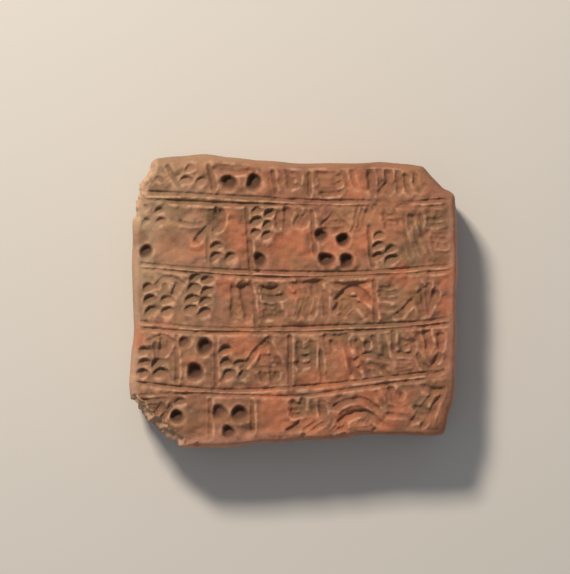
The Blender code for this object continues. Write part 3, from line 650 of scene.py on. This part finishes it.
def pressDent(x, y, width, depth, slant):
    # a stylus's round end: pressed straight in at slant 0, at slant 1 it runs out on the hand's side
    turned = math.atan2(hand[1], hand[0]) + random.uniform(-0.3, 0.3)
    window = near(x, y, x, y, width * 1.3)
    if window is None:
        return
    x += random.uniform(-0.3, 0.3)
    y += random.uniform(-0.3, 0.3)
    depth *= random.uniform(0.8, 1.15)
    dx, dy = mapX[window] - x, mapY[window] - y
    along = dx * math.cos(turned) + dy * math.sin(turned)
    distance = np.hypot(dx, dy)
    lean = along / np.maximum(distance, 1e-6)
    angle = np.arctan2(dy, dx)
    wobble = 1 + 0.05 * np.sin(2 * angle + random.uniform(0, 6))
    wobble += 0.03 * np.sin(3 * angle + random.uniform(0, 6))
    radius = width / 2 * wobble * random.uniform(0.94, 1.06)
    steepSide, handSide = np.clip(-lean, 0, 1), np.clip(lean, 0, 1)
    # a little pointed on the steep side
    outer = radius * (1 + 0.16 * slant * steepSide ** 6 + 0.1 * handSide)
    wall = np.clip((outer - distance) / (radius * (0.6 - 0.1 * slant + 0.4 * handSide)), 0, 1)
    ramp = np.clip(0.5 - along / (2.2 * radius), 0, 1)      # the floor runs out on the hand's side
    dent = depth * wall ** 2 * (3 - 2 * wall) * ((1 - slant) * (0.9 + 0.1 * ramp) + slant * ramp)
    rim = np.exp(-((distance - outer * 1.15) / 0.7) ** 2)
    pushed = 0.35 * marks["lipHeight"] * rim * np.clip(1 - slant + lean, 0, 1)
    cut[window] = np.maximum(cut[window], dent)
    lip[window] = np.maximum(lip[window], pushed)


def pressScoop(x, y, width, depth):
    # the stylus's end pressed at a low slant: a steep crescent, then a ramp that rises to a pushed-up mound
    window = near(x, y, x, y, width * 1.3)
    if window is None:
        return
    turned = math.atan2(hand[1], hand[0]) + random.uniform(-0.25, 0.25)
    x += random.uniform(-0.25, 0.25)
    y += random.uniform(-0.25, 0.25)
    depth *= random.uniform(0.75, 1.15)
    half = width / 2 * random.uniform(0.9, 1.08)
    dx, dy = mapX[window] - x, mapY[window] - y
    along = dx * math.cos(turned) + dy * math.sin(turned)
    across = (dy * math.cos(turned) - dx * math.sin(turned)) / half
    arc = np.clip(1 - across ** 2, 0, 1)
    top = -0.72 * half * arc
    foot = half * (0.4 + 0.3 * arc)
    wall = np.clip((along - top) / marks["scoopWall"], 0, 1)
    ramp = np.clip((foot - along) / (foot - top), 0, 1)
    dent = depth * arc ** 0.8 * wall ** 2 * (3 - 2 * wall) * ramp ** 1.4
    pushed = marks["scoopMound"] * arc * np.exp(-((along - 0.9 * foot) / (0.36 * width)) ** 2)
    cut[window] = np.maximum(cut[window], dent)
    lip[window] = np.maximum(lip[window], pushed)


def gouge(x, y, width, height, angle, depth):
    # a shallow flat-bottomed loss with a ragged edge, steeper on its right
    window = near(x, y, x, y, max(width, height))
    if window is None:
        return
    dx, dy = mapX[window] - x, mapY[window] - y
    turned = math.radians(angle)
    across = (dx * math.cos(turned) + dy * math.sin(turned)) / (width / 2)
    upward = (dy * math.cos(turned) - dx * math.sin(turned)) / (height / 2)
    reach = (np.abs(across) ** 3 + np.abs(upward) ** 3) ** (1 / 3)
    places = np.column_stack([dx.ravel(), dy.ravel(), np.full(dx.size, x)])
    ragged = 0.15 * rough(places, 1.6, 2).reshape(dx.shape)
    fall = np.clip((1 + ragged - reach) / np.where(across > 0, 0.3, 0.9), 0, 1)
    fall = fall ** 2 * (3 - 2 * fall)
    cut[window] = np.maximum(cut[window], depth * fall * (0.75 + 0.25 * across))


for line in ruleLines:
    drawGroove(line, marks["ruleWidth"], marks["ruleDepth"], marks["ruleTaper"])
for number, line in enumerate(dividers):
    path = waver(onTablet(line + [line[-1]]), 20 + number)
    drawGroove(path, marks["dividerWidth"], marks["dividerDepth"], marks["dividerTaper"])
turnMost, shiftMost = marks["strokeTurn"], marks["strokeShift"]
strokeCount = 0
mapX, mapY = faceX + dragX, faceY + dragY
for shape, box, count, strength in strokeGroups:
    for stroke in groupShapes[shape](np.array(box[:2]), np.array(box[2:]), count):
        strokeCount += 1
        stroke = np.array([*stroke, stroke[-1]])
        middle = stroke.mean(axis=0)
        turned = math.radians(random.uniform(-turnMost, turnMost))
        away = (stroke - middle) * random.uniform(*marks["strokeScale"])
        cos, sin = math.cos(turned), math.sin(turned)
        stroke = middle + away @ np.array([[cos, sin], [-sin, cos]])
        stroke += [random.uniform(-shiftMost, shiftMost), random.uniform(-shiftMost, shiftMost)]
        strong = strength * random.uniform(*marks["strokeForce"]) * np.linspace(1.12, 0.8, len(stroke))
        path = waver(onTablet(np.column_stack([stroke, strong])), 50 + strokeCount)
        width = marks["strokeWidth"] * (0.8 + 0.25 * strength)
        drawGroove(path, width, marks["strokeDepth"], marks["strokeTaper"])
for width, block in scoops:
    for x, y in onTablet(block):
        pressScoop(x, y, width, marks["scoopDepth"] * width)
shallow = cut.copy()
for x, y, width, share, slanted in holes:
    pressDent(*onTablet([(x, y)])[0], width, marks["holeDepth"] * share, slanted)
# painted shade: the inside of the round holes, darker where they are deeper
paintedHoleShade = np.where(cut > shallow, np.clip(cut / 1.2, 0, 1), 0)
for x, y, *rest in gouges:
    gouge(*onTablet([(x, y)])[0], *rest)
print("marks", strokeCount, "strokes")


def soften(values, times):
    # each round mixes a place with its neighbours, down and across
    for _ in range(times):
        values = np.pad(values, 1, mode="edge")
        values = (values[:-2] + 2 * values[1:-1] + values[2:]) / 4
        values = (values[:, :-2] + 2 * values[:, 1:-1] + values[:, 2:]) / 4
    return values


# Between its marks the worked clay is lumpy, less so where it was smoothed.
busy = soften(np.clip((sink + lip) / 0.12, 0, 1), 12)
lumps = roughMap(3.6, 2, 55.0) * 0.5 * busy
ridges = 1 - np.abs(roughMap(3.2, 2, 71.0)) * 3
lumps += 0.25 * np.clip(ridges, 0, 1) ** 2 * busy
lumps += 0.9 * roughMap(8.0, 1, 83.0)
lumps += 0.75 * np.abs(roughMap(5.0, 2, 91.0))      # planes left by pressing fingers
kept = 1 - soften(np.clip(flaky[faceIds], 0, 1), 1)
inward = np.minimum.reduce([u, 1 - u, v, 1 - v])[faceIds]
kept *= np.clip(inward / 0.02, 0, 1) ** 0.7         # nothing crosses the rim
relief = lip * np.clip(1 - cut / 0.3, 0, 1) - cut - sink
relief = (0.7 * relief + 0.3 * soften(relief, 1)) * kept
co[faceIds, 2] += relief + soften(lumps, 1) * kept
setCo(mesh, co * mm)


def fromFace(values):
    # the map's values at the vertices of the whole surface, 0 off the face
    found = np.zeros(len(co))
    found[faceIds] = values
    return found


# What the colours need to know: how hollow or proud a place is, where silt stayed, where red clay was rubbed
# bare. The hollows, grooves and holes also get painted shade, and the crests a painted highlight.
blotch = 0.5 + 0.5 * rough(co, 5.0, 3, 5.5)
fine = 0.5 + 0.5 * rough(co, 2.6, 3, 15.5)
broadly, closely = 24, 4    # rounds of softening that a place is compared with
shallows = np.maximum(relief, -0.35)        # without the deep dents, which would draw pale rings
crest = soften(shallows, 1)
broadCrest = np.clip((crest - soften(shallows, broadly)) / 0.35, 0, 0.7)
fineCrest = np.clip((crest - soften(shallows, closely)) / 0.12, 0, 0.5)
wide, close, relief = soften(relief, broadly), soften(relief, closely), soften(relief, 1)
# how far a place lies below its broad surroundings: it guides the silt, and a dark brown layer on it paints
# shade into the hollows
hollow = fromFace(np.clip((wide - relief) / 0.8, 0, 1))
# painted shade: the narrow grooves and the deepest dents are darkened as if shaded
paintedGrooveShade = np.clip((close - relief - 0.01) / 0.1, 0, 1) + 0.5 * np.clip((wide - relief - 1.2) / 1.0, 0, 1)
paintedGrooveShade = fromFace(np.clip(paintedGrooveShade, 0, 1))
# painted highlight: the crests are paler, broken up by fine noise
paintedHighlight = np.clip(fromFace(broadCrest + fineCrest) * np.clip(2.4 * fine - 0.6, 0, 1.3), 0, 1)
paintedHoleShadeOnSurface = fromFace(soften(paintedHoleShade, 1))

stains = {  # x, y and radius of each place
    "faint": [(-38, 17, 7), (-31, 16, 6), (-40, -8, 5), (-10, 38, 6), (30, 24, 7), (44, -12, 6),
              (42, -34, 6)],
    "rubbed": [(-19, 24, 4.5), (-18, 19, 4.5), (-3, 16, 5), (3, 18, 5), (13, 17, 4), (17, 16, 4), (21, 19, 4),
               (-29, 17, 3.5), (-21, 5, 3.5), (-16, -14, 5.5), (-12, -15, 4), (17, -17, 5), (16, -22, 4),
               (23, 2, 4), (33, 8, 3.5), (49, 7, 4), (48, -2, 3.5), (8, -26, 4.5), (14, -27, 3.5),
               (-6, -32, 6), (-3, -36, 5), (6, -38, 5), (16, -37, 5), (34, -32, 4), (29, -37, 4),
               (-31, -20, 2.5), (20, 36, 4), (24, -30, 4), (-49, -11, 3.5), (0, 3, 2.5)],
    "silt": [(-48, 20, 3), (-25, 28, 4.5), (-25.5, 23, 4.5), (-9.5, 25, 5), (-22, 14, 5), (29, 15, 5),
             (38, 18, 7), (-28, 1, 6), (-30, 6, 5), (-45, 1, 5), (-5, -1, 5), (30, 1, 5), (-41, -22, 5),
             (-18, -21, 5), (3, -16, 5), (27, -13, 6), (-45, -34, 5), (-35, -34, 5), (18, -8, 6),
             (-43, 38, 4.5), (-36, 30, 5), (40, -33, 4), (5, -31, 4), (45, 26, 5), (-13, 31, 6),
             (32, -7, 5)],
}


def stainAt(places):
    amount = np.zeros(len(co))
    for x, y, radius in places:
        distance = np.hypot(co[:, 0] - x, co[:, 1] - y)
        amount = np.maximum(amount, np.clip(1.5 - distance / radius + 0.9 * (blotch - 0.5), 0, 1))
    return amount * (co[:, 2] > tablet["thickness"] * 0.6)


def fadeIn(values, start, full):
    return np.clip((values - start) / (full - start), 0, 1)


def storeAttribute(name, values):
    attribute = mesh.attributes.new(name, "FLOAT", "POINT")
    attribute.data.foreach_set("value", values.astype(np.float32))


storeAttribute("hollow", hollow)
storeAttribute("paintedHoleShade", paintedHoleShadeOnSurface)
storeAttribute("paintedGrooveShade", paintedGrooveShade)
storeAttribute("paintedHighlight", paintedHighlight)
storeAttribute("broken", broken)
rubbed = np.maximum(1.2 * stainAt(stains["rubbed"]), 0.6 * stainAt(stains["faint"]))
rubbed = rubbed + 0.3 * (fine - 0.5) + 0.5 * (blotch - 0.5) - 0.8 * hollow
storeAttribute("rubbed", np.clip((rubbed - 0.1) / 1.2, 0, 1))
# a grey film lies on the left, thickest at the edge, and along the left of the upper edge; on the left side
# the paler colour is also painted light, as the light falls from the left
filmAndPaintedLight = fadeIn(co[:, 0], -16, -50) * (0.3 + 0.9 * blotch) * fadeIn(co[:, 1], -36, 14)
# painted light: the strip along the left edge, the side that faces the light, is made paler
filmAndPaintedLight += fadeIn(co[:, 0], -47.5, -49.5) * 0.8
filmAndPaintedLight = np.maximum(filmAndPaintedLight, fadeIn(co[:, 1], 40, 46) * np.minimum(fadeIn(co[:, 0], 20, -20), 0.5))
storeAttribute("filmAndPaintedLight", np.clip(filmAndPaintedLight, 0, 1))
# handling has worn the rim paler, most of all along the foot
edge = np.minimum((tablet["width"] / 2 - np.abs(co[:, 0])) * 1.6, co[:, 1] + tablet["height"] / 2)
worn = np.clip(1 - edge / 7, 0, 1) * np.clip(co[:, 2] / 6 - 1, 0, 1) * (0.4 + 0.9 * fine)
storeAttribute("worn", np.clip(worn, 0, 1))
silt = 0.9 * stainAt(stains["silt"]) + 0.7 * hollow + 0.7 * (fine - 0.5) + 0.7 * (blotch - 0.5) - 0.4 * paintedHighlight
storeAttribute("silt", np.clip((silt - 0.3) / 0.7, 0, 1))


def hexColor(code):
    values = [int(code[n:n + 2], 16) / 255 for n in (1, 3, 5)]
    return [v / 12.92 if v <= 0.04045 else ((v + 0.055) / 1.055) ** 2.4 for v in values] + [1.0]


def addNode(tree, kind, inputs=None, **settings):
    node = tree.nodes.new(kind)
    for name, value in settings.items():
        setattr(node, name, value)
    for name, value in (inputs or {}).items():
        if isinstance(value, bpy.types.NodeSocket):
            tree.links.new(value, node.inputs[name])
        else:
            node.inputs[name].default_value = value
    return node


# Fired clay, or earthenware: fine levigated clay, pressed and smoothed by hand, then low-fired. It is dull,
# with a faint grain, red where it is rubbed and greyish where river silt stays in its hollows. Painted shade
# darkens its hollows, grooves and round holes, a painted highlight pales its crests, and painted light pales
# its left side.
clay = {
    "body": "#9b6d4c",
    "bodyDark": "#80583f",
    "bodyPink": "#9f6753",
    "layers": [         # what lies over the body, from below: where, its color and how strongly
        # The grey film is partly painted light on the left; the pale layer on the crests is a painted
        # highlight, and the dark brown layers in the hollows, the grooves and the round holes are painted
        # shade.
        ("filmAndPaintedLight", "#a48f72", 1.0), ("rubbed", "#b76e4d", 0.85), ("silt", "#7d6046", 0.8),
        ("paintedHighlight", "#dcaa8a", 0.6), ("worn", "#dc9d82", 0.8), ("hollow", "#412619", 0.15),
        ("paintedGrooveShade", "#412619", 0.12), ("paintedHoleShade", "#412619", 0.72), ("broken", "#d0aa8b", 0.85),
    ],
    "patch": 14.0, "pinkPatch": 5.0,
    "grain": 0.5, "grainDepth": 0.15,   # grit is about 0.1 mm and is drawn coarser, so that it shows
    "speckle": (0.86, 1.14),            # how much darker and paler a grain is
    "pits": 2.2, "pitDepth": 0.4,
    "roughness": 0.9,
    "ior": 1.5,
}


def clayMaterial():
    material = bpy.data.materials.new("fired clay, hand-smoothed")
    material.use_nodes = True
    tree = material.node_tree
    shader = tree.nodes["Principled BSDF"]
    shader.inputs["Roughness"].default_value = clay["roughness"]
    shader.inputs["IOR"].default_value = clay["ior"]
    shader.inputs["Metallic"].default_value = 0.0
    coords = addNode(tree, "ShaderNodeTexCoord").outputs["Object"]

    def attribute(name):
        return addNode(tree, "ShaderNodeAttribute", attribute_name=name).outputs["Fac"]

    def clouds(size, detail, low=0.35, high=0.65):
        texture = addNode(tree, "ShaderNodeTexNoise", {"Vector": coords, "Scale": 1 / (size * mm),
                                                       "Detail": detail})
        return addNode(tree, "ShaderNodeMapRange", {"Value": texture.outputs["Fac"], "From Min": low,
                                                    "From Max": high}).outputs["Result"]

    def blend(amount, a, b):
        return addNode(tree, "ShaderNodeMix", {0: amount, 6: a, 7: b}, data_type="RGBA").outputs[2]

    def times(a, b):
        return addNode(tree, "ShaderNodeMath", {0: a, 1: b}, operation="MULTIPLY").outputs[0]

    color = blend(clouds(clay["patch"], 3), hexColor(clay["body"]), hexColor(clay["bodyDark"]))
    color = blend(times(clouds(clay["pinkPatch"], 3, 0.4, 0.6), 0.5), color, hexColor(clay["bodyPink"]))
    for name, code, strength in clay["layers"]:
        color = blend(times(attribute(name), strength), color, hexColor(code))
    darker, paler = clay["speckle"]
    speckle = addNode(tree, "ShaderNodeMapRange", {"Value": clouds(clay["grain"], 2, 0.0, 1.0),
                                                   "To Min": darker, "To Max": paler}).outputs["Result"]
    color = addNode(tree, "ShaderNodeVectorMath", {0: color, 1: speckle}, operation="MULTIPLY").outputs[0]
    tree.links.new(color, shader.inputs["Base Color"])
    grit = clouds(clay["grain"], 3, 0.0, 1.0)
    pits = clouds(clay["pits"], 3, 0.0, 1.0)
    bump = addNode(tree, "ShaderNodeBump", {"Height": pits, "Distance": clay["pitDepth"] * mm,
                                            "Strength": 0.7})
    bump = addNode(tree, "ShaderNodeBump", {"Height": grit, "Distance": clay["grainDepth"] * mm,
                                            "Strength": 0.6, "Normal": bump.outputs["Normal"]})
    tree.links.new(bump.outputs["Normal"], shader.inputs["Normal"])
    return material


surface = bpy.data.objects.new("clay_tablet_surface", mesh)
bpy.context.scene.collection.objects.link(surface)
mesh.materials.append(clayMaterial())
mesh.polygons.foreach_set("use_smooth", [True] * len(mesh.polygons))
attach(surface, "root")
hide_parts("clay_tablet")
triangles = sum(len(polygon.vertices) - 2 for polygon in mesh.polygons)
print("surface", triangles, "triangles")

studio = {
    "floor": "#d8d5cf", "floorSize": 3.0, "floorRoughness": 0.9,
    "keyPlace": (-0.32, 0.58, 0.63), "keySize": 0.16, "keyPower": 8.4, "keyColor": "#fff1e0",
    "fill": "#e8ecf2", "fillStrength": 0.3,
    "cameraHeight": 0.9, "viewWidth": 178.0, "viewMiddle": (-2.56, 4.5),
}

bm = bmesh.new()
bmesh.ops.create_grid(bm, x_segments=1, y_segments=1, size=studio["floorSize"] / 2)
floorMesh = bpy.data.meshes.new("floor")
bm.to_mesh(floorMesh)
bm.free()
floor = bpy.data.objects.new("floor", floorMesh)
bpy.context.scene.collection.objects.link(floor)
paper = bpy.data.materials.new("matt paper sheet")
paper.use_nodes = True
paperShader = paper.node_tree.nodes["Principled BSDF"]
paperShader.inputs["Base Color"].default_value = hexColor(studio["floor"])
paperShader.inputs["Roughness"].default_value = studio["floorRoughness"]
floorMesh.materials.append(paper)

keyData = bpy.data.lights.new("key", "AREA")
keyData.energy = studio["keyPower"]
keyData.size = studio["keySize"]
keyData.color = hexColor(studio["keyColor"])[:3]
key = bpy.data.objects.new("key", keyData)
key.location = studio["keyPlace"]
key.rotation_euler = (Vector((0, 0, 0.02)) - key.location).to_track_quat("-Z", "Y").to_euler()
bpy.context.scene.collection.objects.link(key)

world = bpy.data.worlds.new("soft fill")
world.use_nodes = True
world.node_tree.nodes["Background"].inputs["Color"].default_value = hexColor(studio["fill"])
world.node_tree.nodes["Background"].inputs["Strength"].default_value = studio["fillStrength"]
bpy.context.scene.world = world
bpy.context.scene.view_settings.view_transform = "Standard"

cameraData = bpy.data.cameras.new("camera")
cameraData.sensor_width = 36
away = studio["cameraHeight"] - tablet["thickness"] * mm
cameraData.lens = cameraData.sensor_width * away / (studio["viewWidth"] * mm)
camera = bpy.data.objects.new("camera", cameraData)
camera.location = (studio["viewMiddle"][0] * mm, studio["viewMiddle"][1] * mm, studio["cameraHeight"])
bpy.context.scene.collection.objects.link(camera)
bpy.context.scene.camera = camera

print("done")
